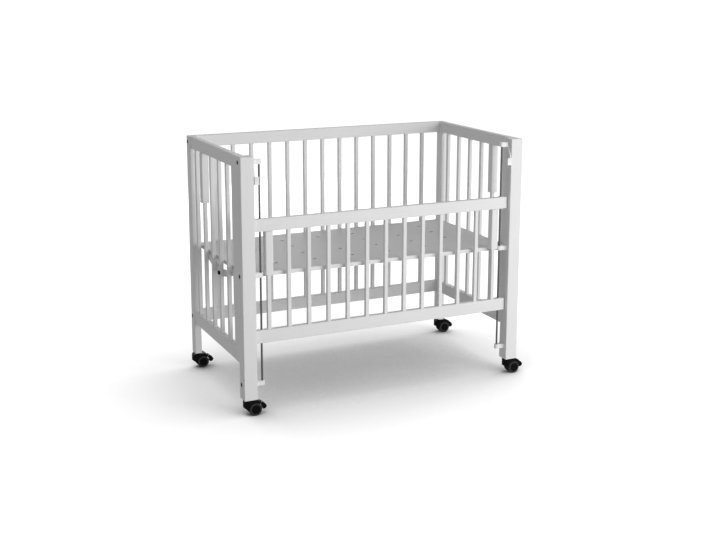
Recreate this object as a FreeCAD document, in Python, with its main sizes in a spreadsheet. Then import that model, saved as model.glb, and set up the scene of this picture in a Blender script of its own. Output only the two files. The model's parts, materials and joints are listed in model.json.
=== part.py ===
import FreeCAD
import Part
import math
import os
import Sketcher
from FreeCAD import Rotation, Vector

# Bedside sleeper crib. Lengths in millimetres. X runs to the right along the drop side,
# Y from the drop side to the back, Z up from the floor.

SIZES = (
    ("crib_length", 960, "outside length over the posts"),
    ("crib_depth", 528, "outside depth, front face of posts to back face of legs"),
    ("crib_height", 792, "top of posts above the floor"),
    ("caster_height", 52, "underside of the legs above the floor"),
    ("post_side", 42, "front post, square section"),
    ("leg_width", 23, "back leg along X"),
    ("leg_depth", 35, "back leg along Y"),
    ("wood_round", 2, "rounding of posts, legs and rails"),
    ("end_thickness", 20, "end rails and stiles along X"),
    ("end_inset", 2.5, "outer face of the end panel behind the face of the posts"),
    ("stile_depth", 44, "end stile along Y"),
    ("back_thickness", 22, "back rails along Y"),
    ("top_rail_height", 38, "top rails of ends, back and drop side"),
    ("low_rail_bottom", 160, "underside of the low rails above the floor"),
    ("low_rail_height", 40, "low rails of ends, back and drop side"),
    ("bar_side", 12.5, "bars, square section"),
    ("bar_round", 2.5, "rounding of the bars"),
    ("bar_depth", 8, "depth of a bar in its rail"),
    ("bar_gap", 0.05, "play around a bar in its rail or collar"),
    ("row_count", 13, "bars in the back and in the drop side"),
    ("row_margin", 48, "first and last of those bars from the posts"),
    ("end_count", 5, "bars in an end"),
    ("end_first_gap", 71, "first end bar from the stile"),
    ("end_last_gap", 34, "last end bar from the back leg"),
    ("collar_side", 25, "square collars on the bars"),
    ("collar_round", 4, "rounding of the collars"),
    ("end_collar_height", 162, "collar on an end bar"),
    ("drop_collar_height", 132, "collar on a drop side bar"),
    ("left_collar_step_count", 3, "bars from the front one to the collar, left end"),
    ("right_collar_step_count", 0, "bars from the front one to the collar, right end"),
    ("drop_front", 14, "front face of the drop rails behind the posts' face"),
    ("drop_thickness", 18, "drop rails along Y"),
    ("drop_play", 4, "drop rail end to post"),
    ("drop_top_bottom", 565, "underside of the drop top rail, side lowered"),
    ("drop_low_bottom", 223, "underside of the drop low rail, side lowered"),
    ("rod_radius", 3, "guide rods"),
    ("rod_reach", 23, "guide rod axis to post"),
    ("rod_seat", 11, "depth of a rod end in its bracket"),
    ("bush_radius", 6, "outside of the rail bushes"),
    ("bush_play", 0.05, "bush bore around the rod, on the radius"),
    ("bush_flange_radius", 8, "flange on top of a bush"),
    ("bush_flange", 0.8, "thickness of that flange"),
    ("bracket_height", 14, "plastic brackets along Z"),
    ("top_bracket_drop", 25, "underside of the top brackets below the top of the posts"),
    ("middle_bracket_bottom", 426, "underside of the middle guides"),
    ("lower_bracket_rise", 38, "underside of the lowest brackets above the end of the posts"),
    ("boss_radius", 7.5, "bracket boss around the rod"),
    ("bracket_plate", 4, "thickness of the bracket root"),
    ("bracket_lip_front", 3.5, "bracket root ahead of the boss"),
    ("bracket_lip_back", 5.5, "bracket root behind the boss"),
    ("top_lip_front", 1, "root of a top bracket ahead of the boss"),
    ("top_lip_back", 9.5, "root of a top bracket behind the boss"),
    ("top_foot", 4.5, "foot of a top bracket behind the catch, along Y"),
    ("bracket_flare", 7, "length over which the arm widens to its root"),
    ("bracket_gusset", 12, "radius of that widening"),
    ("bolt_radius", 3, "shank of the bolts"),
    ("bolt_play", 0.1, "bore of a leg or post around a bolt, on the radius"),
    ("bolt_head_radius", 6.5, "bolt heads"),
    ("bolt_head_height", 4.5, "bolt heads"),
    ("recess_radius", 7, "recess for a bolt head"),
    ("recess_depth", 5, "recess for a bolt head"),
    ("socket_radius", 2.5, "drive socket in a bolt head"),
    ("socket_depth", 2.5, "drive socket in a bolt head"),
    ("bracket_bolt_y", 27, "bracket bolts behind the front face"),
    ("bracket_bolt_grip", 12, "bolt length in a bracket"),
    ("rail_bolt_grip", 30, "bolt length in a back rail"),
    ("catch_play", 0.3, "catch lever to post and to bracket"),
    ("catch_plate", 3, "lever along X"),
    ("spigot_radius", 5, "round spigot of the top bracket, in the lever"),
    ("spigot_play", 0.05, "lever bore around the spigot, on the radius"),
    ("catch_hub", 7.5, "lever around its spigot, radius"),
    ("catch_strip", 8, "tongue of the lever along Y"),
    ("catch_bow", 100, "radius of the bowed tongue"),
    ("catch_drop", 65, "spigot axis to underside of the lever"),
    ("catch_width", 14, "thumb pad and ledge along X"),
    ("catch_pad_front", 30, "front of the thumb pad ahead of the spigot axis"),
    ("catch_pad_depth", 3, "thumb pad along Y"),
    ("catch_pad_height", 24, "thumb pad along Z"),
    ("catch_pad_dish", 60, "radius of the hollow in the thumb pad"),
    ("catch_ledge_back", 16, "back of the ledge ahead of the spigot axis"),
    ("catch_ledge_height", 17, "ledge along Z"),
    ("catch_heel", 6, "radius under the back of the ledge"),
    ("catch_round", 1, "rounding of the pad and ledge"),
    ("base_top", 435, "top of the base board"),
    ("base_thickness", 12, "base board"),
    ("base_front", 38, "front of the base behind the front face"),
    ("base_edge", 4.3, "front edge strip along Y"),
    ("base_back_gap", 28, "back of the base ahead of the back face of the legs"),
    ("base_play", 0.5, "base to posts and legs"),
    ("hole_radius", 7.5, "air holes"),
    ("hole_columns", 6, "air holes along X"),
    ("hole_rows", 4, "air holes along Y"),
    ("hole_front_gap", 95.5, "first row behind the front of the base"),
    ("hole_back_gap", 87.5, "last row ahead of the back of the base"),
    ("support_plate", 8, "bow under the base along X"),
    ("support_reach", 105, "open middle of the bow, half its length along Y"),
    ("support_dip", 21, "open middle of the bow, its depth under the board"),
    ("support_band", 20, "width of the bow"),
    ("support_flange", 26, "feet of the bow under the board, along X"),
    ("support_flange_height", 3, "thickness of those feet"),
    ("support_foot", 36, "length of those feet along Y"),
    ("support_bolt_step_count", 1, "bars from the front one to the base bolt"),
    ("support_bolt_drop", 26, "base bolt below the underside of the board"),
    ("screw_radius", 2, "board screws"),
    ("screw_grip", 8, "screw length in the board"),
    ("screw_head_radius", 3.5, "board screw heads"),
    ("screw_head_height", 2, "board screw heads"),
    ("stem_radius", 4, "caster stem in the hood"),
    ("stem_play", 0.05, "hood bore around the stem, on the radius"),
    ("stem_bottom", 37, "bottom of the hood bore"),
    ("stem_end_play", 0.2, "stem end to the bottom of its bore"),
    ("stem_top_radius", 5, "caster stem in the leg"),
    ("stem_top_length", 28, "caster stem in the leg"),
    ("stem_collar_radius", 9, "collar under the leg"),
    ("stem_collar_height", 1.5, "collar under the leg"),
    ("wheel_radius", 20, "caster wheel"),
    ("wheel_width", 11, "one wheel of a pair"),
    ("wheel_inner", 5.5, "inner face of a wheel from the middle"),
    ("wheel_round", 2.5, "tread edge"),
    ("dish_radius", 13, "dished outer face of a wheel"),
    ("dish_depth", 2, "dished outer face of a wheel"),
    ("cap_radius", 5.5, "middle cap of a wheel"),
    ("cap_height", 1.5, "middle cap of a wheel"),
    ("axle_radius", 3, "caster axle"),
    ("axle_reach", 13, "axle end from the middle"),
    ("axle_play", 0.05, "wheel bore around the axle, on the radius"),
    ("axle_end_play", 0.4, "axle end to the bottom of the wheel bore"),
    ("trail", 16, "axle behind the swivel axis"),
    ("hood_half", 17, "half width of the hood"),
    ("web_half", 4.5, "half width of the web between the wheels"),
    ("hood_pocket", 21, "radius of the wheel pockets"),
    ("hood_top", 50, "top of the hood"),
    ("hood_nose", 19, "front of the hood ahead of the swivel axis"),
    ("hood_prow_x", 24, "side view: meeting point ahead of the nose"),
    ("hood_prow_z", 31, "side view: that point above the floor"),
    ("hood_brow", 24, "side view: radius from there up to the flat top"),
    ("hood_crown_front", 10, "flat top ahead of the swivel axis"),
    ("hood_crown_back", 22, "flat top behind the swivel axis"),
    ("hood_tail", 33, "tail behind the swivel axis"),
    ("hood_tail_z", 42, "top of the tail above the floor"),
    ("web_bottom", 9, "underside of the web above the floor"),
    ("web_front", 8, "lower front corner of the web"),
    ("pedal_x", 37, "pedal pin behind the swivel axis"),
    ("pedal_z", 38, "pedal pin above the floor"),
    ("pedal_boss", 3.4, "radius around the pedal pin"),
    ("pedal_half", 7, "half width of the pedal"),
    ("lug_half", 3.5, "half width of the lug"),
    ("pedal_play", 0.1, "pedal to lug"),
    ("pedal_pin_radius", 1.25, "pedal pin"),
    ("pedal_pin_play", 0.05, "pedal bore around the pin, on the radius"),
    ("pedal_travel", 12, "degrees that the pedal tips down"),
    ("pedal_clear", 1.5, "pressed pedal to the wheels"),
    ("pedal_shoulder_x", 46, "shoulder of the pedal behind the swivel axis"),
    ("pedal_shoulder_z", 34, "shoulder of the pedal above the floor"),
    ("pedal_reach", 54, "tip of the pedal behind the swivel axis"),
    ("pedal_tip_z", 24, "tip of the pedal above the floor"),
    ("pedal_back", 16, "radius from the shoulder to the tip"),
    ("pedal_heel", 9, "radius from the tip to the lower end"),
)

PLACES = (
    ("post_x", "Sizes.crib_length / 2 - Sizes.post_side / 2"),
    ("post_inner", "Sizes.crib_length / 2 - Sizes.post_side"),
    ("leg_x", "Sizes.crib_length / 2 - Sizes.leg_width / 2"),
    ("leg_y", "Sizes.crib_depth - Sizes.leg_depth / 2"),
    ("leg_inner", "Sizes.crib_length / 2 - Sizes.leg_width"),
    ("leg_length", "Sizes.crib_height - Sizes.caster_height"),
    ("end_x", "Sizes.crib_length / 2 - Sizes.end_inset - Sizes.end_thickness / 2"),
    ("stile_back", "Sizes.post_side + Sizes.stile_depth"),
    ("leg_front", "Sizes.crib_depth - Sizes.leg_depth"),
    ("top_rail_bottom", "Sizes.crib_height - Sizes.top_rail_height"),
    ("low_rail_top", "Sizes.low_rail_bottom + Sizes.low_rail_height"),
    ("back_y", "Sizes.crib_depth - Sizes.back_thickness / 2"),
    ("mortise", "Sizes.bar_side + 2 * Sizes.bar_gap"),
    ("bars_bottom", "Places.low_rail_top - Sizes.bar_depth"),
    ("bars_length", "Places.top_rail_bottom + Sizes.bar_depth - Places.bars_bottom"),
    ("row_first", "Sizes.row_margin - Places.post_inner"),
    ("row_pitch", "-2 * Places.row_first / (Sizes.row_count - 1)"),
    ("end_first", "Places.stile_back + Sizes.end_first_gap"),
    ("end_last", "Places.leg_front - Sizes.end_last_gap"),
    ("end_pitch", "(Places.end_last - Places.end_first) / (Sizes.end_count - 1)"),
    ("drop_y", "Sizes.drop_front + Sizes.drop_thickness / 2"),
    ("drop_half", "Places.post_inner - Sizes.drop_play"),
    ("drop_low_top", "Sizes.drop_low_bottom + Sizes.low_rail_height"),
    ("rod_x", "Places.post_inner - Sizes.rod_reach"),
    ("top_bracket_bottom", "Sizes.crib_height - Sizes.top_bracket_drop"),
    ("foot_bracket_bottom", "Sizes.caster_height + Sizes.lower_bracket_rise"),
    ("rod_bottom", "Places.foot_bracket_bottom + Sizes.bracket_height - Sizes.rod_seat"),
    ("rod_top", "Places.top_bracket_bottom + Sizes.rod_seat"),
    ("bolt_in_bracket", "Sizes.bracket_bolt_y - Places.drop_y"),
    ("bolt_seat", "Sizes.crib_length / 2 - Sizes.recess_depth"),
    ("catch_z", "Places.top_bracket_bottom + Sizes.bracket_height / 2"),
    ("catch_inner", "Sizes.catch_play + Sizes.catch_plate"),
    ("catch_ledge_top", "Sizes.catch_ledge_height - Sizes.catch_drop"),
    ("catch_pad_back", "Sizes.catch_pad_depth - Sizes.catch_pad_front"),
    ("top_wall", "Sizes.rod_reach - Sizes.catch_play - Places.catch_inner"),
    ("base_back", "Sizes.crib_depth - Sizes.base_back_gap"),
    ("hole_first", "Sizes.base_front + Sizes.hole_front_gap"),
    ("hole_last", "Places.base_back - Sizes.hole_back_gap"),
    ("hole_pitch", "(Places.hole_last - Places.hole_first) / (Sizes.hole_rows - 1)"),
    ("base_bottom", "Sizes.base_top - Sizes.base_thickness"),
    ("end_bar_inner", "Places.end_x - Sizes.bar_side / 2"),
    ("support_inner", "Places.end_bar_inner - Sizes.support_plate"),
    ("support_y", "Sizes.crib_depth / 2"),
    ("support_bolt_y", "Places.end_first + Sizes.support_bolt_step_count * Places.end_pitch"),
    ("support_bolt_z", "Places.base_bottom - Sizes.support_bolt_drop"),
    ("bow_radius", "(Sizes.support_reach ^ 2 + Sizes.support_dip ^ 2) / (2 * Sizes.support_dip)"),
    ("bow_outer", "Places.bow_radius + Sizes.support_band"),
    ("bow_half", "sqrt(Places.bow_outer ^ 2 - (Places.bow_radius - Sizes.support_dip) ^ 2)"),
    ("screw_x", "Places.support_inner - Sizes.support_flange / 2"),
    ("screw_y", "Sizes.support_reach + Sizes.support_foot / 2"),
    ("wheel_outer", "Sizes.wheel_inner + Sizes.wheel_width"),
    ("wheel_dish", "Places.wheel_outer - Sizes.dish_depth"),
    ("axle_bore_end", "Sizes.axle_reach + Sizes.axle_end_play"),
    ("axle_bore_radius", "Sizes.axle_radius + Sizes.axle_play"),
    ("wheel_from_pin_x", "Sizes.trail - Sizes.pedal_x"),
    ("wheel_from_pin_z", "Sizes.wheel_radius - Sizes.pedal_z"),
    ("pressed_x", "Places.wheel_from_pin_x * cos(Sizes.pedal_travel)"
                  " - Places.wheel_from_pin_z * sin(Sizes.pedal_travel)"),
    ("pressed_z", "Places.wheel_from_pin_x * sin(Sizes.pedal_travel)"
                  " + Places.wheel_from_pin_z * cos(Sizes.pedal_travel)"),
    ("pedal_hollow", "Sizes.wheel_radius + Sizes.pedal_clear"),
    ("centre_x", "(Sizes.pedal_reach - Sizes.hood_nose) / 2"),
    ("centre_y", "(Sizes.crib_depth + Sizes.bracket_bolt_y - Sizes.catch_pad_front) / 2"),
)

TURNS = {
    "x": Rotation(Vector(0, 1, 0), 90),
    "y": Rotation(Vector(1, 0, 0), -90),
    "z": Rotation(),
}

doc = FreeCAD.newDocument("Crib")
sheet = doc.addObject("Spreadsheet::Sheet", "Sizes")
for row, (name, number, note) in enumerate(SIZES, 1):
    sheet.set(f"A{row}", note)
    sheet.set(f"B{row}", str(number))
    sheet.setAlias(f"B{row}", name)
doc.recompute()
places = doc.addObject("App::VarSet", "Places")
for name, formula in PLACES:
    places.addProperty("App::PropertyFloat", name)
    places.setExpression(name, formula)
doc.recompute()

parts = []


def new_body(name, x, y, z):
    """A sub-part whose own origin stands at x, y, z of the crib."""
    body = doc.addObject("PartDesign::Body", name)
    body.Label = name
    body.setExpression(".Placement.Base.x", f"({x}) - Places.centre_x")
    body.setExpression(".Placement.Base.y", f"({y}) - Places.centre_y")
    body.setExpression(".Placement.Base.z", z)
    parts.append(body)
    return body


def origin_item(body, role):
    """Plane or axis of the body's own origin."""
    for item in body.Origin.OriginFeatures:
        if item.Role == role:
            return item
    raise ValueError(role)


def finish(body, item):
    """Make the newest feature the result of the body."""
    body.Tip = item
    doc.recompute()
    return item


def block(body, name, corner, size, cut=False):
    """Box from its lowest corner."""
    kind = "PartDesign::SubtractiveBox" if cut else "PartDesign::AdditiveBox"
    item = body.newObject(kind, name)
    for key, formula in zip(("Length", "Width", "Height"), size):
        item.setExpression(key, formula)
    for key, formula in zip("xyz", corner):
        item.setExpression(f".Placement.Base.{key}", formula)
    return finish(body, item)


def cylinder(body, name, start, axis, radius, length, cut=False):
    """Cylinder from the middle of its first face, along an axis."""
    kind = "PartDesign::SubtractiveCylinder" if cut else "PartDesign::AdditiveCylinder"
    item = body.newObject(kind, name)
    item.Placement = FreeCAD.Placement(Vector(), TURNS[axis])
    item.setExpression("Radius", radius)
    item.setExpression("Height", length)
    for key, formula in zip("xyz", start):
        item.setExpression(f".Placement.Base.{key}", formula)
    return finish(body, item)


def value_of(formula):
    """Number that a formula stands for now."""
    return float(places.evalExpression(formula))


def hold_point(sketch, geometry, point, spot):
    """Tie a sketch point to the two formulas of its place."""
    for kind, formula in zip(("DistanceX", "DistanceY"), spot):
        tie = sketch.addConstraint(
            Sketcher.Constraint(kind, -1, 1, geometry, point, value_of(formula)))
        sketch.setExpression(f"Constraints[{tie}]", formula)


def arc_between(start, end, turn, radius):
    """Arc of less than half a circle that turns left or right on its way."""
    half = (end - start) / 2
    toward = Vector(-half.y, half.x, 0).normalize()
    if turn == "right":
        toward = -toward
    centre = start + half + toward * math.sqrt(radius ** 2 - half.Length ** 2)
    middle = centre - toward * radius
    if turn == "left":
        return Part.Arc(start, middle, end)
    return Part.Arc(end, middle, start)


def add_loop(sketch, spots):
    """Closed loop through spots; a spot with a turn and a radius starts an arc."""
    first = sketch.GeometryCount
    corners = [Vector(value_of(spot[0]), value_of(spot[1]), 0) for spot in spots]
    tips = []
    for corner, following, spot in zip(corners, corners[1:] + corners[:1], spots):
        if len(spot) == 2:
            sketch.addGeometry(Part.LineSegment(corner, following), False)
            tips.append((1, 2))
            continue
        turn, radius = spot[2:]
        sketch.addGeometry(arc_between(corner, following, turn, value_of(radius)), False)
        tips.append((1, 2) if turn == "left" else (2, 1))
    for index, spot in enumerate(spots):
        following = (index + 1) % len(spots)
        sketch.addConstraint(Sketcher.Constraint("Coincident", first + index, tips[index][1],
                                                 first + following, tips[following][0]))
        hold_point(sketch, first + index, tips[index][0], spot)
        if len(spot) > 2:
            tie = sketch.addConstraint(
                Sketcher.Constraint("Radius", first + index, value_of(spot[3])))
            sketch.setExpression(f"Constraints[{tie}]", spot[3])


def profile(body, name, role, offset, *loops):
    """Sketch of closed loops on a plane of the body, moved along the plane's normal."""
    sketch = body.newObject("Sketcher::SketchObject", name)
    sketch.AttachmentSupport = [(origin_item(body, role), "")]
    sketch.MapMode = "FlatFace"
    sketch.setExpression(".AttachmentOffset.Base.z", offset)
    for spots in loops:
        add_loop(sketch, spots)
    doc.recompute()
    return sketch


def pad(body, name, sketch, length):
    """Solid of the sketch, that far along its plane's normal."""
    item = body.newObject("PartDesign::Pad", name)
    item.Profile = sketch
    item.setExpression("Length", length)
    return finish(body, item)


def pocket(body, name, sketch, length):
    """Cut of the sketch, that far against its plane's normal."""
    item = body.newObject("PartDesign::Pocket", name)
    item.Profile = sketch
    item.setExpression("Length", length)
    return finish(body, item)


def revolve(body, name, sketch, role):
    """Solid of the sketch turned once around an axis of the body."""
    item = body.newObject("PartDesign::Revolution", name)
    item.Profile = sketch
    item.ReferenceAxis = (origin_item(body, role), [""])
    return finish(body, item)


def row(body, name, features, role, count, pitch):
    """Repeat features along an axis of the body."""
    item = body.newObject("PartDesign::LinearPattern", name)
    item.Originals = features
    item.Direction = (origin_item(body, role), [""])
    item.Mode = "Spacing"
    item.setExpression("Occurrences", count)
    item.setExpression("Offset", pitch)
    return finish(body, item)


def soften(body, name, radius, wanted):
    """Round the straight or curved edges that the test picks."""
    base = body.Tip
    names = [f"Edge{n}" for n, edge in enumerate(base.Shape.Edges, 1) if wanted(edge)]
    item = body.newObject("PartDesign::Fillet", name)
    item.Base = (base, names)
    item.setExpression("Radius", radius)
    return finish(body, item)


def along(axis):
    """Test for straight edges that run along an axis."""
    def wanted(edge):
        if edge.Curve.TypeId != "Part::GeomLine":
            return False
        return round(getattr(edge.Curve.Direction, axis)) != 0
    return wanted


def any_edge(edge):
    return True


def span(side, near, far):
    """Lowest formula of a stretch that lies between near and far on one side."""
    return near if side > 0 else f"-({far})"


def bolt(body, name, side, seat, y, z, length):
    """Bolt along X with its head toward the outside of the crib."""
    end = f"({seat}) + Sizes.bolt_head_height"
    cylinder(body, f"{name}_shank", (span(side, f"({seat}) - ({length})", end), y, z), "x",
             "Sizes.bolt_radius", f"({length}) + Sizes.bolt_head_height")
    cylinder(body, f"{name}_head", (span(side, seat, end), y, z), "x",
             "Sizes.bolt_head_radius", "Sizes.bolt_head_height")
    cylinder(body, f"{name}_socket", (span(side, f"{end} - Sizes.socket_depth", end), y, z), "x",
             "Sizes.socket_radius", "Sizes.socket_depth", True)


def bolt_bore(body, name, side, half, y, z):
    """Bore through an upright with a recess for the head in its outer face."""
    cylinder(body, f"{name}_bore", (f"-({half})", y, z), "x",
             "Sizes.bolt_radius + Sizes.bolt_play", f"2 * ({half})", True)
    start = span(side, f"({half}) - Sizes.recess_depth", half)
    cylinder(body, f"{name}_recess", (start, y, z), "x", "Sizes.recess_radius",
             "Sizes.recess_depth", True)


def upright(name, side, x, y, width, depth):
    """Post or leg with its caster bore, own origin at the middle of its foot."""
    body = new_body(name, f"{side} * {x}", y, "Sizes.caster_height")
    block(body, "stock", (f"-{width} / 2", f"-{depth} / 2", "0"), (width, depth, "Places.leg_length"))
    soften(body, "rounding", "Sizes.wood_round", any_edge)
    cylinder(body, "caster_bore", ("0", "0", "0"), "z", "Sizes.stem_top_radius",
             "Sizes.stem_top_length", True)
    return body


BRACKET_HEIGHTS = (
    ("top", "Places.top_bracket_bottom"),
    ("middle", "Sizes.middle_bracket_bottom"),
    ("foot", "Places.foot_bracket_bottom"),
)
RAIL_HEIGHTS = (
    ("top", "(Places.top_rail_bottom + Sizes.crib_height) / 2"),
    ("low", "(Sizes.low_rail_bottom + Places.low_rail_top) / 2"),
)
SIDES = (("left", -1), ("right", 1))

# Posts and legs
for word, side in SIDES:
    post = upright(f"front_post_{word}", side, "Places.post_x", "Sizes.post_side / 2",
                   "Sizes.post_side", "Sizes.post_side")
    for level, bottom in BRACKET_HEIGHTS:
        height = f"{bottom} + Sizes.bracket_height / 2 - Sizes.caster_height"
        bolt_bore(post, level, side, "Sizes.post_side / 2",
                  "Sizes.bracket_bolt_y - Sizes.post_side / 2", height)
    leg = upright(f"back_leg_{word}", side, "Places.leg_x", "Places.leg_y",
                  "Sizes.leg_width", "Sizes.leg_depth")
    for level, middle in RAIL_HEIGHTS:
        bolt_bore(leg, level, side, "Sizes.leg_width / 2", "Places.back_y - Places.leg_y",
                  f"{middle} - Sizes.caster_height")

# End panels
for word, side in SIDES:
    stile = new_body(f"end_stile_{word}", f"{side} * Places.end_x", "Sizes.post_side",
                     "Sizes.low_rail_bottom")
    block(stile, "stock", ("-Sizes.end_thickness / 2", "0", "0"),
          ("Sizes.end_thickness", "Sizes.stile_depth", "Sizes.crib_height - Sizes.low_rail_bottom"))
    soften(stile, "rounding", "Sizes.wood_round", along("z"))
    rail_length = "Places.leg_front - Places.stile_back"
    for level, bottom, height, mouth in (
            ("top", "Places.top_rail_bottom", "Sizes.top_rail_height", "0"),
            ("low", "Sizes.low_rail_bottom", "Sizes.low_rail_height",
             "Sizes.low_rail_height - Sizes.bar_depth")):
        rail = new_body(f"end_{level}_rail_{word}", f"{side} * Places.end_x",
                        "Places.stile_back", bottom)
        block(rail, "stock", ("-Sizes.end_thickness / 2", "0", "0"),
              ("Sizes.end_thickness", rail_length, height))
        soften(rail, "rounding", "Sizes.wood_round", along("y"))
        seat = block(rail, "mortise",
                     ("-Places.mortise / 2",
                      "Places.end_first - Places.stile_back - Places.mortise / 2", mouth),
                     ("Places.mortise", "Places.mortise", "Sizes.bar_depth"), True)
        row(rail, "mortises", [seat], "Y_Axis", "Sizes.end_count", "Places.end_pitch")
    bars = new_body(f"end_bars_{word}", f"{side} * Places.end_x", "Places.end_first",
                    "Places.bars_bottom")
    bar = block(bars, "bar", ("-Sizes.bar_side / 2", "-Sizes.bar_side / 2", "0"),
                ("Sizes.bar_side", "Sizes.bar_side", "Places.bars_length"))
    rounding = soften(bars, "rounding", "Sizes.bar_round", along("z"))
    row(bars, "bars", [bar, rounding], "Y_Axis", "Sizes.end_count", "Places.end_pitch")
    cylinder(bars, "bolt_bore",
             ("-Sizes.bar_side / 2", "Sizes.support_bolt_step_count * Places.end_pitch",
              "Places.support_bolt_z - Places.bars_bottom"), "x",
             "Sizes.bolt_radius", "Sizes.bar_side", True)
    collar_y = f"Places.end_first + Sizes.{word}_collar_step_count * Places.end_pitch"
    collar = new_body(f"end_collar_{word}", f"{side} * Places.end_x", collar_y,
                      "Places.top_rail_bottom - Sizes.end_collar_height")
    block(collar, "stock", ("-Sizes.collar_side / 2", "-Sizes.collar_side / 2", "0"),
          ("Sizes.collar_side", "Sizes.collar_side", "Sizes.end_collar_height"))
    soften(collar, "rounding", "Sizes.collar_round", along("z"))
    block(collar, "bore", ("-Places.mortise / 2", "-Places.mortise / 2", "0"),
          ("Places.mortise", "Places.mortise", "Sizes.end_collar_height"), True)

# Back panel
for level, bottom, height, mouth in (
        ("top", "Places.top_rail_bottom", "Sizes.top_rail_height", "0"),
        ("low", "Sizes.low_rail_bottom", "Sizes.low_rail_height",
         "Sizes.low_rail_height - Sizes.bar_depth")):
    rail = new_body(f"back_{level}_rail", "0", "Places.back_y", bottom)
    block(rail, "stock", ("-Places.leg_inner", "-Sizes.back_thickness / 2", "0"),
          ("2 * Places.leg_inner", "Sizes.back_thickness", height))
    soften(rail, "rounding", "Sizes.wood_round", along("x"))
    seat = block(rail, "mortise",
                 ("Places.row_first - Places.mortise / 2", "-Places.mortise / 2", mouth),
                 ("Places.mortise", "Places.mortise", "Sizes.bar_depth"), True)
    row(rail, "mortises", [seat], "X_Axis", "Sizes.row_count", "Places.row_pitch")
    for word, start in (("left", "-Places.leg_inner"),
                        ("right", "Places.leg_inner - Sizes.rail_bolt_grip")):
        cylinder(rail, f"{word}_bolt_bore", (start, "0", f"{height} / 2"), "x",
                 "Sizes.bolt_radius", "Sizes.rail_bolt_grip", True)
bars = new_body("back_bars", "Places.row_first", "Places.back_y", "Places.bars_bottom")
bar = block(bars, "bar", ("-Sizes.bar_side / 2", "-Sizes.bar_side / 2", "0"),
            ("Sizes.bar_side", "Sizes.bar_side", "Places.bars_length"))
rounding = soften(bars, "rounding", "Sizes.bar_round", along("z"))
row(bars, "bars", [bar, rounding], "X_Axis", "Sizes.row_count", "Places.row_pitch")

# Base
board_half = "Places.leg_inner - Sizes.base_play"
board = new_body("base_board", "0", "Sizes.base_front + Sizes.base_edge", "Places.base_bottom")
board_depth = "Places.base_back - Sizes.base_front - Sizes.base_edge"
block(board, "stock", (f"-({board_half})", "0", "0"),
      (f"2 * ({board_half})", board_depth, "Sizes.base_thickness"))
hole_pitch = "2 * Places.row_pitch"
hole = cylinder(board, "air_hole",
                (f"-({hole_pitch}) * (Sizes.hole_columns - 1) / 2",
                 "Places.hole_first - Sizes.base_front - Sizes.base_edge", "0"), "z",
                "Sizes.hole_radius", "Sizes.base_thickness", True)
holes = row(board, "air_holes", [hole], "X_Axis", "Sizes.hole_columns", hole_pitch)
holes.Direction2 = (origin_item(board, "Y_Axis"), [""])
holes.Mode2 = "Spacing"
holes.setExpression("Occurrences2", "Sizes.hole_rows")
holes.setExpression("Offset2", "Places.hole_pitch")
finish(board, holes)
edge_half = "Places.post_inner - Sizes.base_play"
strip = new_body("base_front_edge", "0", "Sizes.base_front", "Places.base_bottom")
block(strip, "stock", (f"-({edge_half})", "0", "0"),
      (f"2 * ({edge_half})", "Sizes.base_edge", "Sizes.base_thickness"))

ENDS = (("front", -1), ("back", 1))
for word, side in SIDES:
    support = new_body(f"base_bracket_{word}", f"{side} * Places.support_inner",
                       "Places.support_y", "Places.base_bottom")
    outward = "0" if side > 0 else "-Sizes.support_plate"
    shape = profile(support, "bow_outline", "YZ_Plane", outward, (
        ("-Places.bow_half", "0"), ("-Sizes.support_reach", "0", "left", "Places.bow_radius"),
        ("Sizes.support_reach", "0"), ("Places.bow_half", "0", "right", "Places.bow_outer")))
    pad(support, "bow", shape, "Sizes.support_plate")
    inward = span(-side, "0", "Sizes.support_flange")
    for end_word, end in ENDS:
        spot = f"{end} * Places.screw_y"
        block(support, f"{end_word}_foot",
              (inward, f"{spot} - Sizes.support_foot / 2", "-Sizes.support_flange_height"),
              ("Sizes.support_flange", "Sizes.support_foot", "Sizes.support_flange_height"))
        cylinder(support, f"{end_word}_screw_bore",
                 (f"-{side} * Sizes.support_flange / 2", spot, "-Sizes.support_flange_height"), "z",
                 "Sizes.screw_radius", "Sizes.support_flange_height", True)
        cylinder(board, f"screw_bore_{word}_{end_word}",
                 (f"{side} * Places.screw_x",
                  f"Places.support_y + {spot} - Sizes.base_front - Sizes.base_edge", "0"),
                 "z", "Sizes.screw_radius", "Sizes.screw_grip", True)
    cylinder(support, "bolt_bore",
             (outward, "Places.support_bolt_y - Places.support_y", "-Sizes.support_bolt_drop"),
             "x", "Sizes.bolt_radius", "Sizes.support_plate", True)

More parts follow.
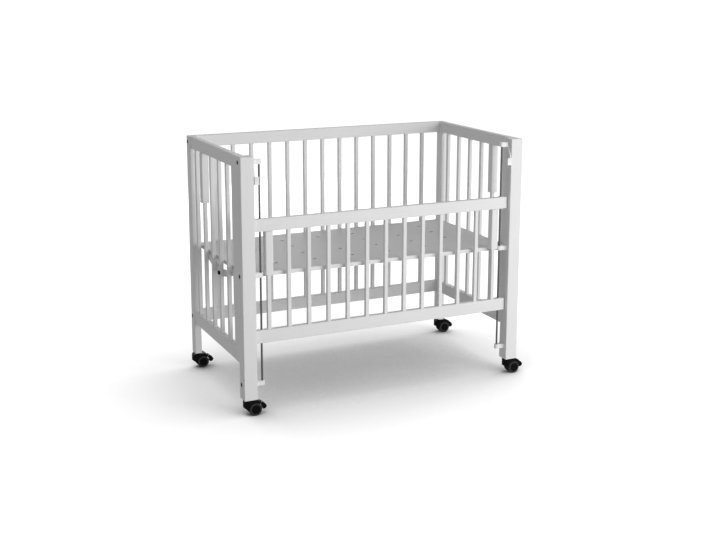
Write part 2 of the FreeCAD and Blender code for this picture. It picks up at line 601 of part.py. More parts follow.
# Rods, brackets and catches
rods = new_body("guide_rods", "0", "Places.drop_y", "Places.rod_bottom")
for word, side in SIDES:
    cylinder(rods, word, (f"{side} * Places.rod_x", "0", "0"), "z", "Sizes.rod_radius",
             "Places.rod_top - Places.rod_bottom")
for word, side in SIDES:
    turn = "right" if side > 0 else "left"
    for level, bottom in BRACKET_HEIGHTS:
        bracket = new_body(f"rod_{level}_{'guide' if level == 'middle' else 'bracket'}_{word}",
                           f"{side} * Places.rod_x", "Places.drop_y", bottom)
        wall = "Places.top_wall" if level == "top" else "Sizes.rod_reach"
        kind = "top" if level == "top" else "bracket"
        front = f"-Sizes.boss_radius - Sizes.{kind}_lip_front"
        back = f"Sizes.boss_radius + Sizes.{kind}_lip_back"
        root = f"{side} * ({wall} - Sizes.bracket_plate)"
        neck = f"{side} * ({wall} - Sizes.bracket_plate - Sizes.bracket_flare)"
        face = f"{side} * {wall}"
        shape = profile(bracket, "arm_outline", "XY_Plane", "0", (
            ("0", "-Sizes.boss_radius"), (neck, "-Sizes.boss_radius", turn, "Sizes.bracket_gusset"),
            (root, front), (face, front), (face, back),
            (root, back, turn, "Sizes.bracket_gusset"),
            (neck, "Sizes.boss_radius"), ("0", "Sizes.boss_radius")))
        pad(bracket, "arm", shape, "Sizes.bracket_height")
        cylinder(bracket, "boss", ("0", "0", "0"), "z", "Sizes.boss_radius", "Sizes.bracket_height")
        if level == "top":
            start = span(side, "Places.top_wall", "Sizes.rod_reach")
            reach = "Sizes.rod_reach - Places.top_wall"
            block(bracket, "foot", (start, f"{back} - Sizes.top_foot", "0"),
                  (reach, "Sizes.top_foot", "Sizes.bracket_height"))
            cylinder(bracket, "spigot", (start, "Places.bolt_in_bracket", "Sizes.bracket_height / 2"),
                     "x", "Sizes.spigot_radius", reach)
        floor = "Sizes.bracket_height - Sizes.rod_seat" if level == "foot" else "0"
        depth = "Sizes.bracket_height" if level == "middle" else "Sizes.rod_seat"
        cylinder(bracket, "rod_bore", ("0", "0", floor), "z", "Sizes.rod_radius", depth, True)
        start = span(side, "Sizes.rod_reach - Sizes.bracket_bolt_grip", "Sizes.rod_reach")
        cylinder(bracket, "bolt_bore", (start, "Places.bolt_in_bracket", "Sizes.bracket_height / 2"),
                 "x", "Sizes.bolt_radius", "Sizes.bracket_bolt_grip", True)

for word, side in SIDES:
    lever = new_body(f"catch_lever_{word}", f"{side} * Places.post_inner", "Sizes.bracket_bolt_y",
                     "Places.catch_z")
    wide = span(-side, "Sizes.catch_play", "Sizes.catch_play + Sizes.catch_width")
    pad_top = "Sizes.catch_pad_height - Sizes.catch_drop"
    grip = profile(lever, "grip_outline", "YZ_Plane", wide, (
        ("-Sizes.catch_pad_front", "-Sizes.catch_drop"),
        ("-Sizes.catch_ledge_back - Sizes.catch_heel", "-Sizes.catch_drop", "left", "Sizes.catch_heel"),
        ("-Sizes.catch_ledge_back", "Sizes.catch_heel - Sizes.catch_drop"),
        ("-Sizes.catch_ledge_back", "Places.catch_ledge_top"),
        ("Places.catch_pad_back", "Places.catch_ledge_top"),
        ("Places.catch_pad_back", pad_top),
        ("-Sizes.catch_pad_front", pad_top, "right", "Sizes.catch_pad_dish")))
    pad(lever, "grip", grip, "Sizes.catch_width")
    soften(lever, "rounding", "Sizes.catch_round", along("x"))
    plate = span(-side, "Sizes.catch_play", "Places.catch_inner")
    tongue = profile(lever, "tongue_outline", "YZ_Plane", plate, (
        ("-Sizes.catch_hub", "0", "left", "Sizes.catch_bow"),
        ("Places.catch_pad_back", "Places.catch_ledge_top"),
        ("Places.catch_pad_back + Sizes.catch_strip", "Places.catch_ledge_top", "right",
         "Sizes.catch_bow"),
        ("Sizes.catch_strip - Sizes.catch_hub", "0")))
    pad(lever, "tongue", tongue, "Sizes.catch_plate")
    cylinder(lever, "hub", (plate, "0", "0"), "x", "Sizes.catch_hub", "Sizes.catch_plate")
    cylinder(lever, "spigot_bore", (plate, "0", "0"), "x",
             "Sizes.spigot_radius + Sizes.spigot_play", "Sizes.catch_plate", True)

# Bolts and screws
rail_bolts = new_body("rail_bolts", "0", "Places.back_y", "0")
bracket_bolts = new_body("bracket_bolts", "0", "Sizes.bracket_bolt_y", "0")
base_bolts = new_body("base_bolts", "0", "Places.support_bolt_y", "Places.support_bolt_z")
screws = new_body("board_screws", "0", "0", "Places.base_bottom")
for word, side in SIDES:
    for level, middle in RAIL_HEIGHTS:
        bolt(rail_bolts, f"{level}_{word}", side, "Places.bolt_seat", "0", middle,
             "Places.bolt_seat - Places.leg_inner + Sizes.rail_bolt_grip")
    for level, bottom in BRACKET_HEIGHTS:
        bolt(bracket_bolts, f"{level}_{word}", side, "Places.bolt_seat", "0",
             f"{bottom} + Sizes.bracket_height / 2",
             "Places.bolt_seat - Places.post_inner + Sizes.bracket_bolt_grip")
    bolt(base_bolts, word, side, "Places.end_x + Sizes.bar_side / 2", "0", "0",
         "Sizes.bar_side + Sizes.support_plate")
    for end_word, end in ENDS:
        spot = f"Places.support_y + {end} * Places.screw_y"
        cylinder(screws, f"shank_{word}_{end_word}",
                 (f"{side} * Places.screw_x", spot, "-Sizes.support_flange_height"), "z",
                 "Sizes.screw_radius", "Sizes.support_flange_height + Sizes.screw_grip")
        cylinder(screws, f"head_{word}_{end_word}",
                 (f"{side} * Places.screw_x", spot,
                  "-Sizes.support_flange_height - Sizes.screw_head_height"), "z",
                 "Sizes.screw_head_radius", "Sizes.screw_head_height")

# Drop side, modelled in its lowered place
for level, bottom, height, mouth in (
        ("top", "Sizes.drop_top_bottom", "Sizes.top_rail_height", "0"),
        ("low", "Sizes.drop_low_bottom", "Sizes.low_rail_height",
         "Sizes.low_rail_height - Sizes.bar_depth")):
    rail = new_body(f"drop_{level}_rail", "0", "Places.drop_y", bottom)
    block(rail, "stock", ("-Places.drop_half", "-Sizes.drop_thickness / 2", "0"),
          ("2 * Places.drop_half", "Sizes.drop_thickness", height))
    soften(rail, "rounding", "Sizes.wood_round", along("x"))
    seat = block(rail, "mortise",
                 ("Places.row_first - Places.mortise / 2", "-Places.mortise / 2", mouth),
                 ("Places.mortise", "Places.mortise", "Sizes.bar_depth"), True)
    row(rail, "mortises", [seat], "X_Axis", "Sizes.row_count", "Places.row_pitch")
    for word, side in SIDES:
        cylinder(rail, f"{word}_bush_bore", (f"{side} * Places.rod_x", "0", "0"), "z",
                 "Sizes.bush_radius", height, True)
drop_bars_bottom = "Places.drop_low_top - Sizes.bar_depth"
bars = new_body("drop_bars", "Places.row_first", "Places.drop_y", drop_bars_bottom)
bar = block(bars, "bar", ("-Sizes.bar_side / 2", "-Sizes.bar_side / 2", "0"),
            ("Sizes.bar_side", "Sizes.bar_side",
             f"Sizes.drop_top_bottom + Sizes.bar_depth - ({drop_bars_bottom})"))
rounding = soften(bars, "rounding", "Sizes.bar_round", along("z"))
row(bars, "bars", [bar, rounding], "X_Axis", "Sizes.row_count", "Places.row_pitch")
collars = new_body("drop_collars", "0", "Places.drop_y",
                   "Sizes.drop_top_bottom - Sizes.drop_collar_height")
for word, side in SIDES:
    block(collars, word, (f"{side} * Places.row_first - Sizes.collar_side / 2",
                          "-Sizes.collar_side / 2", "0"),
          ("Sizes.collar_side", "Sizes.collar_side", "Sizes.drop_collar_height"))
soften(collars, "rounding", "Sizes.collar_round", along("z"))
for word, side in SIDES:
    block(collars, f"{word}_bore", (f"{side} * Places.row_first - Places.mortise / 2",
                                    "-Places.mortise / 2", "0"),
          ("Places.mortise", "Places.mortise", "Sizes.drop_collar_height"), True)
bushes = new_body("rail_bushes", "0", "Places.drop_y", "0")
for word, side in SIDES:
    for level, bottom, height in (
            ("top", "Sizes.drop_top_bottom", "Sizes.top_rail_height"),
            ("low", "Sizes.drop_low_bottom", "Sizes.low_rail_height")):
        name = f"{level}_{word}"
        cylinder(bushes, f"{name}_bush", (f"{side} * Places.rod_x", "0", bottom), "z",
                 "Sizes.bush_radius", height)
        cylinder(bushes, f"{name}_flange",
                 (f"{side} * Places.rod_x", "0", f"{bottom} + {height}"), "z",
                 "Sizes.bush_flange_radius", "Sizes.bush_flange")
        cylinder(bushes, f"{name}_bore", (f"{side} * Places.rod_x", "0", bottom), "z",
                 "Sizes.rod_radius + Sizes.bush_play", f"{height} + Sizes.bush_flange", True)

# Casters
stems = new_body("caster_stems", "0", "0", "Sizes.caster_height")
CASTERS = (
    ("front_left", "-Places.post_x", "Sizes.post_side / 2"),
    ("front_right", "Places.post_x", "Sizes.post_side / 2"),
    ("back_left", "-Places.leg_x", "Places.leg_y"),
    ("back_right", "Places.leg_x", "Places.leg_y"),
)
for corner, x, y in CASTERS:
    stem_low = "Sizes.stem_bottom + Sizes.stem_end_play - Sizes.caster_height"
    cylinder(stems, f"{corner}_stem", (x, y, stem_low), "z", "Sizes.stem_radius", f"-({stem_low})")
    cylinder(stems, f"{corner}_collar", (x, y, "-Sizes.stem_collar_height"), "z",
             "Sizes.stem_collar_radius", "Sizes.stem_collar_height")
    cylinder(stems, f"{corner}_top", (x, y, "0"), "z", "Sizes.stem_top_radius",
             "Sizes.stem_top_length")

    hood = new_body(f"caster_hood_{corner}", x, y, "0")
    nose = "Sizes.hood_half - Sizes.hood_nose"
    plan = profile(hood, "plan_view", "XY_Plane", "Sizes.web_bottom", (
        (nose, "Sizes.hood_half", "left", "Sizes.hood_half"),
        ("-Sizes.hood_nose", "0", "left", "Sizes.hood_half"),
        (nose, "-Sizes.hood_half"),
        ("Sizes.hood_tail", "-Sizes.hood_half"), ("Sizes.hood_tail", "Sizes.hood_half")))
    pad(hood, "shell", plan, "Sizes.hood_top - Sizes.web_bottom")
    around = (("-2 * Sizes.hood_nose", "0"), ("2 * Sizes.hood_tail", "0"),
              ("2 * Sizes.hood_tail", "2 * Sizes.hood_top"),
              ("-2 * Sizes.hood_nose", "2 * Sizes.hood_top"))
    side_view = profile(hood, "side_view", "XZ_Plane", "Sizes.hood_half", around, (
        ("-Sizes.hood_prow_x", "Sizes.hood_prow_z", "right", "Sizes.hood_brow"),
        ("-Sizes.hood_crown_front", "Sizes.hood_top"), ("Sizes.hood_crown_back", "Sizes.hood_top"),
        ("Sizes.hood_tail", "Sizes.hood_tail_z"), ("Sizes.hood_tail", "Sizes.web_bottom"),
        ("Sizes.web_front", "Sizes.web_bottom")))
    pocket(hood, "side_trim", side_view, "2 * Sizes.hood_half")
    for word, start in (("near", "-Sizes.hood_half"), ("far", "Sizes.web_half")):
        cylinder(hood, f"{word}_pocket", ("Sizes.trail", start, "Sizes.wheel_radius"), "y",
                 "Sizes.hood_pocket", "Sizes.hood_half - Sizes.web_half", True)
    block(hood, "lug_root", ("Sizes.hood_tail", "-Sizes.lug_half", "Sizes.pedal_z - Sizes.pedal_boss"),
          ("Sizes.pedal_x - Sizes.hood_tail", "2 * Sizes.lug_half", "2 * Sizes.pedal_boss"))
    cylinder(hood, "lug", ("Sizes.pedal_x", "-Sizes.lug_half", "Sizes.pedal_z"), "y",
             "Sizes.pedal_boss", "2 * Sizes.lug_half")
    cylinder(hood, "pin_bore", ("Sizes.pedal_x", "-Sizes.lug_half", "Sizes.pedal_z"), "y",
             "Sizes.pedal_pin_radius", "2 * Sizes.lug_half", True)
    cylinder(hood, "axle_bore", ("Sizes.trail", "-Sizes.web_half", "Sizes.wheel_radius"), "y",
             "Sizes.axle_radius", "2 * Sizes.web_half", True)
    cylinder(hood, "stem_bore", ("0", "0", "Sizes.stem_bottom"), "z",
             "Sizes.stem_radius + Sizes.stem_play", "Sizes.hood_top - Sizes.stem_bottom", True)

    wheels = new_body(f"caster_wheels_{corner}", f"{x} + Sizes.trail", y, "Sizes.wheel_radius")
    for word, side in (("near", -1), ("far", 1)):
        turn = "right" if side > 0 else "left"
        section = (
            ("Sizes.wheel_inner", "Places.axle_bore_radius"),
            ("Sizes.wheel_inner", "Sizes.wheel_radius - Sizes.wheel_round", turn, "Sizes.wheel_round"),
            ("Sizes.wheel_inner + Sizes.wheel_round", "Sizes.wheel_radius"),
            ("Places.wheel_outer - Sizes.wheel_round", "Sizes.wheel_radius", turn,
             "Sizes.wheel_round"),
            ("Places.wheel_outer", "Sizes.wheel_radius - Sizes.wheel_round"),
            ("Places.wheel_outer", "Sizes.dish_radius"), ("Places.wheel_dish", "Sizes.dish_radius"),
            ("Places.wheel_dish", "Sizes.cap_radius"),
            ("Places.wheel_dish + Sizes.cap_height", "Sizes.cap_radius"),
            ("Places.wheel_dish + Sizes.cap_height", "0"), ("Places.axle_bore_end", "0"),
            ("Places.axle_bore_end", "Places.axle_bore_radius"))
        placed = tuple((f"{side} * ({spot[0]})", *spot[1:]) for spot in section)
        revolve(wheels, word, profile(wheels, f"{word}_section", "YZ_Plane", "0", placed), "Y_Axis")

    pins = new_body(f"caster_pins_{corner}", x, y, "0")
    cylinder(pins, "axle", ("Sizes.trail", "-Sizes.axle_reach", "Sizes.wheel_radius"), "y",
             "Sizes.axle_radius", "2 * Sizes.axle_reach")
    cylinder(pins, "pedal_pin", ("Sizes.pedal_x", "-Sizes.pedal_half", "Sizes.pedal_z"), "y",
             "Sizes.pedal_pin_radius", "2 * Sizes.pedal_half")

    pedal = new_body(f"brake_pedal_{corner}", f"{x} + Sizes.pedal_x", y, "Sizes.pedal_z")
    hollow_x = "Places.pedal_hollow * sqrt(3) / 2"
    hollow_z = "Places.pedal_hollow / 2"
    shape = profile(pedal, "pedal_outline", "XZ_Plane", "-Sizes.pedal_half", (
        ("0", "-Sizes.pedal_boss"), ("0", "Sizes.pedal_boss"),
        ("Sizes.pedal_shoulder_x - Sizes.pedal_x", "Sizes.pedal_shoulder_z - Sizes.pedal_z",
         "right", "Sizes.pedal_back"),
        ("Sizes.pedal_reach - Sizes.pedal_x", "Sizes.pedal_tip_z - Sizes.pedal_z",
         "right", "Sizes.pedal_heel"),
        ("Places.pressed_x + Places.pedal_hollow", "Places.pressed_z", "left", "Places.pedal_hollow"),
        (f"Places.pressed_x + {hollow_x}", f"Places.pressed_z + {hollow_z}")))
    pad(pedal, "paddle", shape, "2 * Sizes.pedal_half")
    cylinder(pedal, "hub", ("0", "-Sizes.pedal_half", "0"), "y", "Sizes.pedal_boss",
             "2 * Sizes.pedal_half")
    cylinder(pedal, "lug_slot", ("0", "-Sizes.lug_half - Sizes.pedal_play", "0"), "y",
             "Sizes.pedal_boss + Sizes.pedal_play", "2 * (Sizes.lug_half + Sizes.pedal_play)", True)
    cylinder(pedal, "pin_bore", ("0", "-Sizes.pedal_half", "0"), "y",
             "Sizes.pedal_pin_radius + Sizes.pedal_pin_play", "2 * Sizes.pedal_half", True)

doc.recompute()
for item in doc.Objects:
    if {"Invalid", "Error"} & set(item.State):
        raise RuntimeError(item.Name)
os.makedirs("parts", exist_ok=True)
for body in parts:
    if body.Shape.isNull() or not body.Shape.isValid():
        raise RuntimeError(body.Name)
    body.Shape.exportStep(f"parts/{body.Name}.step")
total = FreeCAD.BoundBox()
for body in parts:
    total.add(body.Shape.BoundBox)
    print(body.Name, len(body.Shape.Solids), round(body.Shape.Volume))
print(len(parts), "sub-parts", total)
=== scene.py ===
"""Materials, floor, light and camera for the bedside sleeper crib, around its CAD frame."""
import json
import math

import bpy
from mathutils import Matrix, Vector


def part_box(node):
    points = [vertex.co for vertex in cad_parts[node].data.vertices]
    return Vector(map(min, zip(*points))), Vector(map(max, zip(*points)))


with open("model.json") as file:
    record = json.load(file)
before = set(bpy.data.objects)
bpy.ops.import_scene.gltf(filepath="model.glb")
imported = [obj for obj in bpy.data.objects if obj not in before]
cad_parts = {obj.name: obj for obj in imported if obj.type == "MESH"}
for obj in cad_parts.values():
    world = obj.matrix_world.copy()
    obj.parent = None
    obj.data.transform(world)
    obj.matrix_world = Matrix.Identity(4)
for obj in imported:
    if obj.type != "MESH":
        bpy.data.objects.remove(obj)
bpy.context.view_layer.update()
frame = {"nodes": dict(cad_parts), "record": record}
nodes = frame["nodes"]

# Colours are linear. Depths and distances are in metres, and noise scales are repeats per metre.
WHITE = (0.80, 0.80, 0.80)
# Painted shade: the base board gets a grey in place of the white paint, so its top shows darker as
# if less lit.
BOARD_SHADE_GREY = (0.60, 0.60, 0.60)
PLASTIC_WHITE = (0.84, 0.84, 0.84)
PLASTIC_BLACK = (0.003, 0.003, 0.0033)
OXIDE_BLACK = (0.003, 0.003, 0.003)
TREAD_GREY = (0.04, 0.04, 0.042)
ROD_GREY = (0.10, 0.10, 0.102)
ZINC_GREY = (0.55, 0.55, 0.56)
PAINT_SPECULAR = 0.15
BLACK_SPECULAR = 0.05
GRAIN_ACROSS = 420.0
GRAIN_ALONG = 9.0
GRAIN_SHARE = 0.55
PORE_TONES = ((0.30, 0.90), (0.46, 1.0))
PEEL_DEPTH = 0.00003
LINES_ACROSS = 1500.0
LINES_ALONG = 12.0
LINE_DEPTH = 0.00002
HUB_RADIUS = 0.0134
TREAD_RADIUS = 0.0142
TYRE_DEPTH = 0.00004

# ---------------------------------------------------------------- material tools


def new_material(name, color, roughness, metallic=0.0, specular=0.5):
    """A material with one principled shader. Nodes take over its colour and roughness later."""
    mat = bpy.data.materials.new(name)
    mat.use_nodes = True
    shader = mat.node_tree.nodes["Principled BSDF"]
    shader.inputs["Base Color"].default_value = (*color, 1)
    shader.inputs["Roughness"].default_value = roughness
    shader.inputs["Metallic"].default_value = metallic
    shader.inputs["Specular IOR Level"].default_value = specular
    return mat, mat.node_tree, shader


def coords(tree, scale=(1, 1, 1), offset=(0, 0, 0)):
    """Object coordinates, scaled and then moved."""
    where = tree.nodes.new("ShaderNodeTexCoord")
    mapping = tree.nodes.new("ShaderNodeMapping")
    mapping.inputs["Location"].default_value = offset
    mapping.inputs["Scale"].default_value = scale
    tree.links.new(where.outputs["Object"], mapping.inputs["Vector"])
    return mapping.outputs["Vector"]


def drawn_out(axis, across, along):
    """Scales that stretch a noise along one axis."""
    scale = [across, across, across]
    scale["XYZ".index(axis)] = along
    return scale


def noise(tree, vector, scale, detail, rough=0.5):
    """Noise from 0 to 1."""
    node = tree.nodes.new("ShaderNodeTexNoise")
    node.inputs["Scale"].default_value = scale
    node.inputs["Detail"].default_value = detail
    node.inputs["Roughness"].default_value = rough
    tree.links.new(vector, node.inputs["Vector"])
    return node.outputs["Fac"]


def ramp(tree, value, stops):
    """Greys from stops of (place, shade)."""
    node = tree.nodes.new("ShaderNodeValToRGB")
    for element, (place, shade) in zip(node.color_ramp.elements, stops):
        element.position = place
        element.color = (shade, shade, shade, 1)
    tree.links.new(value, node.inputs["Fac"])
    return node.outputs["Color"]


def spread(tree, value, low, high):
    """Map 0..1 to low..high."""
    node = tree.nodes.new("ShaderNodeMapRange")
    node.inputs["To Min"].default_value = low
    node.inputs["To Max"].default_value = high
    tree.links.new(value, node.inputs["Value"])
    return node.outputs["Result"]


def bump(tree, shader, height, distance):
    """Add a bump on top of the bumps that the shader has already."""
    node = tree.nodes.new("ShaderNodeBump")
    node.inputs["Strength"].default_value = 1.0
    node.inputs["Distance"].default_value = distance
    tree.links.new(height, node.inputs["Height"])
    if shader.inputs["Normal"].is_linked:
        tree.links.new(shader.inputs["Normal"].links[0].from_socket, node.inputs["Normal"])
    tree.links.new(node.outputs["Normal"], shader.inputs["Normal"])


def mix_color(tree, factor, first, second):
    """Mix two colours, each a tuple or a socket."""
    node = tree.nodes.new("ShaderNodeMix")
    node.data_type = "RGBA"
    tree.links.new(factor, node.inputs["Factor"])
    for socket, value in ((node.inputs["A"], first), (node.inputs["B"], second)):
        if isinstance(value, tuple):
            socket.default_value = (*value, 1)
        else:
            tree.links.new(value, socket)
    return node.outputs["Result"]


def darker(color, share):
    return tuple(c * share for c in color)


def paint(name, color, axis, roughness=0.55, grain=0.00012):
    """Sprayed paint on wood: faint grain along the piece, orange peel and slight colour drift."""
    mat, tree, shader = new_material(name, color, roughness, specular=PAINT_SPECULAR)
    along_grain = coords(tree, drawn_out(axis, GRAIN_ACROSS, GRAIN_ALONG))
    fibres = noise(tree, along_grain, scale=1.0, detail=4.0, rough=0.62)
    peel = noise(tree, coords(tree), scale=900.0, detail=2.0)
    drift = noise(tree, coords(tree, offset=(3.1, 1.7, 0.4)), scale=7.0, detail=2.0)
    toned = mix_color(tree, drift, darker(color, 0.955), color)
    pores = ramp(tree, fibres, PORE_TONES)
    node = tree.nodes.new("ShaderNodeMix")
    node.data_type = "RGBA"
    node.blend_type = "MULTIPLY"
    node.inputs["Factor"].default_value = GRAIN_SHARE
    tree.links.new(toned, node.inputs["A"])
    tree.links.new(pores, node.inputs["B"])
    tree.links.new(node.outputs["Result"], shader.inputs["Base Color"])
    tree.links.new(spread(tree, drift, roughness - 0.05, roughness + 0.07),
                   shader.inputs["Roughness"])
    bump(tree, shader, fibres, grain)
    bump(tree, shader, peel, PEEL_DEPTH)
    return mat


def moulded(name, color, roughness, texture=500.0, depth=0.00005, specular=0.5):
    """Moulded plastic, or oxide on steel, with a fine sparked surface."""
    mat, tree, shader = new_material(name, color, roughness, specular=specular)
    cells = noise(tree, coords(tree), scale=texture, detail=3.0)
    cloud = noise(tree, coords(tree, offset=(0.3, 0.9, 2.2)), scale=40.0, detail=2.0)
    tree.links.new(mix_color(tree, cloud, darker(color, 0.9), color), shader.inputs["Base Color"])
    tree.links.new(spread(tree, cells, roughness - 0.06, roughness + 0.1),
                   shader.inputs["Roughness"])
    bump(tree, shader, cells, depth)
    return mat


def metal(name, color, roughness, axis):
    """Drawn or turned steel with fine lines along its axis."""
    mat, tree, shader = new_material(name, color, roughness, metallic=1.0)
    along_lines = coords(tree, drawn_out(axis, LINES_ACROSS, LINES_ALONG))
    lines = noise(tree, along_lines, scale=1.0, detail=2.0)
    tree.links.new(mix_color(tree, lines, darker(color, 0.8), color), shader.inputs["Base Color"])
    tree.links.new(spread(tree, lines, roughness - 0.08, roughness + 0.12),
                   shader.inputs["Roughness"])
    bump(tree, shader, lines, LINE_DEPTH)
    return mat


def wheel_material(name, centre):
    """Black hub with a paler tread ring, set by the distance from the axle."""
    mat, tree, shader = new_material(name, PLASTIC_BLACK, roughness=0.5, specular=BLACK_SPECULAR)
    from_axle = tree.nodes.new("ShaderNodeVectorMath")
    from_axle.operation = "LENGTH"
    tree.links.new(coords(tree, (1, 0, 1), (-centre.x, 0, -centre.z)), from_axle.inputs[0])
    ring = tree.nodes.new("ShaderNodeMapRange")
    ring.inputs["From Min"].default_value = HUB_RADIUS
    ring.inputs["From Max"].default_value = TREAD_RADIUS
    tree.links.new(from_axle.outputs["Value"], ring.inputs["Value"])
    on_tread = ring.outputs["Result"]
    dust = noise(tree, coords(tree), scale=160.0, detail=3.0)
    worn = mix_color(tree, dust, darker(TREAD_GREY, 0.75), TREAD_GREY)
    tree.links.new(mix_color(tree, on_tread, PLASTIC_BLACK, worn), shader.inputs["Base Color"])
    tree.links.new(spread(tree, on_tread, 0.38, 0.62), shader.inputs["Roughness"])
    bump(tree, shader, noise(tree, coords(tree), scale=700.0, detail=2.0), TYRE_DEPTH)
    return mat


def dress(node, material):
    """Give a piece one material on all its faces."""
    piece = nodes[node]
    piece.data.materials.clear()
    piece.data.materials.append(material)
    for face in piece.data.polygons:
        face.material_index = 0


# ---------------------------------------------------------------- materials on the CAD nodes
painted = {axis: paint(f"white_paint_{axis.lower()}", WHITE, axis) for axis in "XYZ"}
GRAIN_AXIS = {
    "front_post": "Z", "back_leg": "Z", "end_stile": "Z", "end_bars": "Z", "end_collar": "Z",
    "back_bars": "Z", "drop_bars": "Z", "drop_collars": "Z",
    "end_top_rail": "Y", "end_low_rail": "Y", "base_bracket": "Y",
    "back_top_rail": "X", "back_low_rail": "X", "drop_top_rail": "X", "drop_low_rail": "X",
    "base_front_edge": "X",
}
SLOT_LOOK = {
    # Painted shade: the base panel is painted grey rather than white, to darken it as if the lamps
    # light it less.
    "base_panel": paint("base_paint_shaded", BOARD_SHADE_GREY, "X", roughness=0.5, grain=0.00006),
    "white_plastic": moulded("white_plastic", PLASTIC_WHITE, roughness=0.36),
    "caster_plastic": moulded("black_plastic", PLASTIC_BLACK, roughness=0.42, texture=650.0,
                              specular=BLACK_SPECULAR),
    "dark_steel": metal("rod_steel", ROD_GREY, roughness=0.34, axis="Z"),
    "steel": metal("zinc", ZINC_GREY, roughness=0.35, axis="X"),
    "black_steel": moulded("black_steel", OXIDE_BLACK, roughness=0.6, texture=900.0,
                           specular=BLACK_SPECULAR),
}
for entry in frame["record"]["subparts"]:
    node, slot = entry["node"], entry["material_slot"]
    if slot in SLOT_LOOK:
        dress(node, SLOT_LOOK[slot])
        continue
    if slot == "wheel_plastic":
        low, high = (Vector(corner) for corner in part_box(node))
        dress(node, wheel_material(f"{node}_look", (low + high) / 2))
        continue
    for stem, axis in GRAIN_AXIS.items():
        if node.startswith(stem):
            dress(node, painted[axis])

# ---------------------------------------------------------------- floor and backdrop
FLOOR_HALF = 40.0
FLOOR_BOUNCE = 0.62
FLOOR_LIT = 0.55
SHADOW_REACH = 1.6
SHADOW_SAMPLES = 16
SHADOW_TONES = ((0.36, 0.0), (1.0, 0.90))
SKY_LIGHT = 0.38
BACKDROP_WHITE = 1.0


def seen_rays(tree):
    """1 for the rays that show the background itself, 0 for those that it lights things with."""
    path = tree.nodes.new("ShaderNodeLightPath")
    total = path.outputs["Is Camera Ray"]
    for ray in ("Is Glossy Ray", "Is Transmission Ray"):
        node = tree.nodes.new("ShaderNodeMath")
        node.operation = "MAXIMUM"
        tree.links.new(total, node.inputs[0])
        tree.links.new(path.outputs[ray], node.inputs[1])
        total = node.outputs["Value"]
    return total


def mix_by_ray(tree, usual, shown, output):
    """Give the rays that show the background one shader and all others another."""
    choice = tree.nodes.new("ShaderNodeMixShader")
    tree.links.new(seen_rays(tree), choice.inputs["Fac"])
    tree.links.new(usual, choice.inputs[1])
    tree.links.new(shown, choice.inputs[2])
    tree.links.new(choice.outputs["Shader"], tree.nodes[output].inputs["Surface"])


def diffuse(tree, shade):
    node = tree.nodes.new("ShaderNodeBsdfDiffuse")
    node.inputs["Color"].default_value = (shade, shade, shade, 1)
    return node.outputs["BSDF"]


floor_mesh = bpy.data.meshes.new("floor")
floor_mesh.from_pydata([(-FLOOR_HALF, -FLOOR_HALF, 0), (FLOOR_HALF, -FLOOR_HALF, 0),
                        (FLOOR_HALF, FLOOR_HALF, 0), (-FLOOR_HALF, FLOOR_HALF, 0)], [],
                       [(0, 1, 2, 3)])
floor = bpy.data.objects.new("floor", floor_mesh)
bpy.context.scene.collection.objects.link(floor)
floor_look = bpy.data.materials.new("floor")
floor_look.use_nodes = True
floor_tree = floor_look.node_tree
floor_tree.nodes.remove(floor_tree.nodes["Principled BSDF"])

# The floor shows white in the open and darkens where the crib hides the sky from it.
openness = floor_tree.nodes.new("ShaderNodeAmbientOcclusion")
openness.samples = SHADOW_SAMPLES
openness.inputs["Distance"].default_value = SHADOW_REACH
glow = floor_tree.nodes.new("ShaderNodeEmission")
floor_tree.links.new(ramp(floor_tree, openness.outputs["AO"], SHADOW_TONES), glow.inputs["Color"])
both = floor_tree.nodes.new("ShaderNodeAddShader")
floor_tree.links.new(glow.outputs["Emission"], both.inputs[0])
floor_tree.links.new(diffuse(floor_tree, FLOOR_LIT), both.inputs[1])
mix_by_ray(floor_tree, diffuse(floor_tree, FLOOR_BOUNCE), both.outputs["Shader"],
           "Material Output")
floor_mesh.materials.append(floor_look)

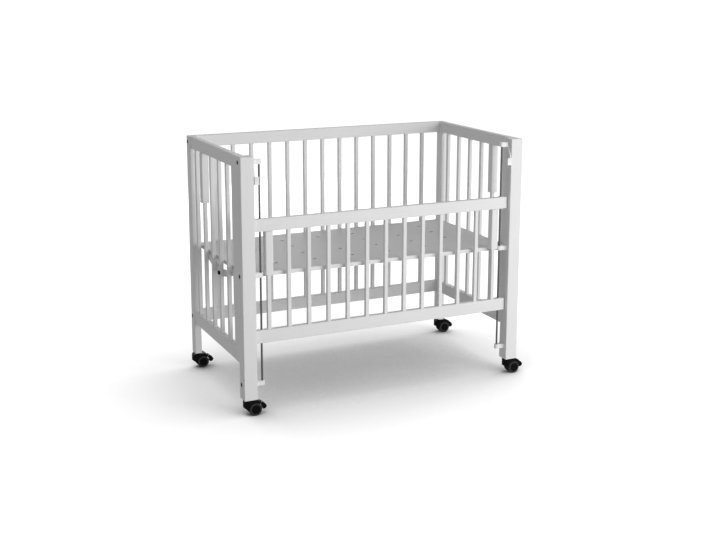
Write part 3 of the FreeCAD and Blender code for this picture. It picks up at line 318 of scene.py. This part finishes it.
world = bpy.data.worlds.new("studio")
bpy.context.scene.world = world
world.use_nodes = True
sky = world.node_tree.nodes["Background"]
backdrop = world.node_tree.nodes.new("ShaderNodeBackground")
for background, strength in ((sky, SKY_LIGHT), (backdrop, BACKDROP_WHITE)):
    background.inputs["Color"].default_value = (1, 1, 1, 1)
    background.inputs["Strength"].default_value = strength
mix_by_ray(world.node_tree, sky.outputs["Background"], backdrop.outputs["Background"],
           "World Output")


# ---------------------------------------------------------------- lamps
def soft_box(name, place, target, size, watts):
    """A rectangular lamp that faces its target."""
    data = bpy.data.lights.new(name, "AREA")
    data.shape = "RECTANGLE"
    data.size, data.size_y = size
    data.energy = watts
    lamp = bpy.data.objects.new(name, data)
    bpy.context.scene.collection.objects.link(lamp)
    lamp.location = place
    aim = Vector(target) - Vector(place)
    lamp.rotation_euler = aim.to_track_quat("-Z", "Y").to_euler()


soft_box("front_box", place=(1.6, -3.5, 1.25), target=(0.2, 0, 0.45), size=(2.4, 1.8), watts=88)
soft_box("side_box", place=(2.9, 0.3, 1.8), target=(0.3, 0, 0.1), size=(1.4, 1.2), watts=22)
soft_box("back_box", place=(0.3, 3.6, 0.7), target=(0.1, 0, 0.45), size=(2.4, 1.0), watts=30)

# ---------------------------------------------------------------- camera, fitted to the photograph
CAMERA_PLACE = (-1.5686, -3.3349, 1.2951)
CAMERA_YAW = 25.186
CAMERA_TILT = -11.585
CAMERA_ROLL = 0.095
SENSOR_MM = 36
LENS_MM = 57.375
LENS_SHIFT = -0.08
FAR_LIMIT = 200
camera_data = bpy.data.cameras.new("photo_camera")
camera_data.sensor_fit = "HORIZONTAL"
camera_data.sensor_width = SENSOR_MM
camera_data.lens = LENS_MM
camera_data.shift_y = LENS_SHIFT
camera_data.clip_end = FAR_LIMIT
camera = bpy.data.objects.new("photo_camera", camera_data)
bpy.context.scene.collection.objects.link(camera)
camera.location = CAMERA_PLACE
turn = (Matrix.Rotation(math.radians(-CAMERA_YAW), 3, "Z")
        @ Matrix.Rotation(math.radians(90 + CAMERA_TILT), 3, "X")
        @ Matrix.Rotation(math.radians(CAMERA_ROLL), 3, "Z"))
camera.rotation_euler = turn.to_euler()
bpy.context.scene.camera = camera

bpy.context.scene.view_settings.view_transform = "Standard"
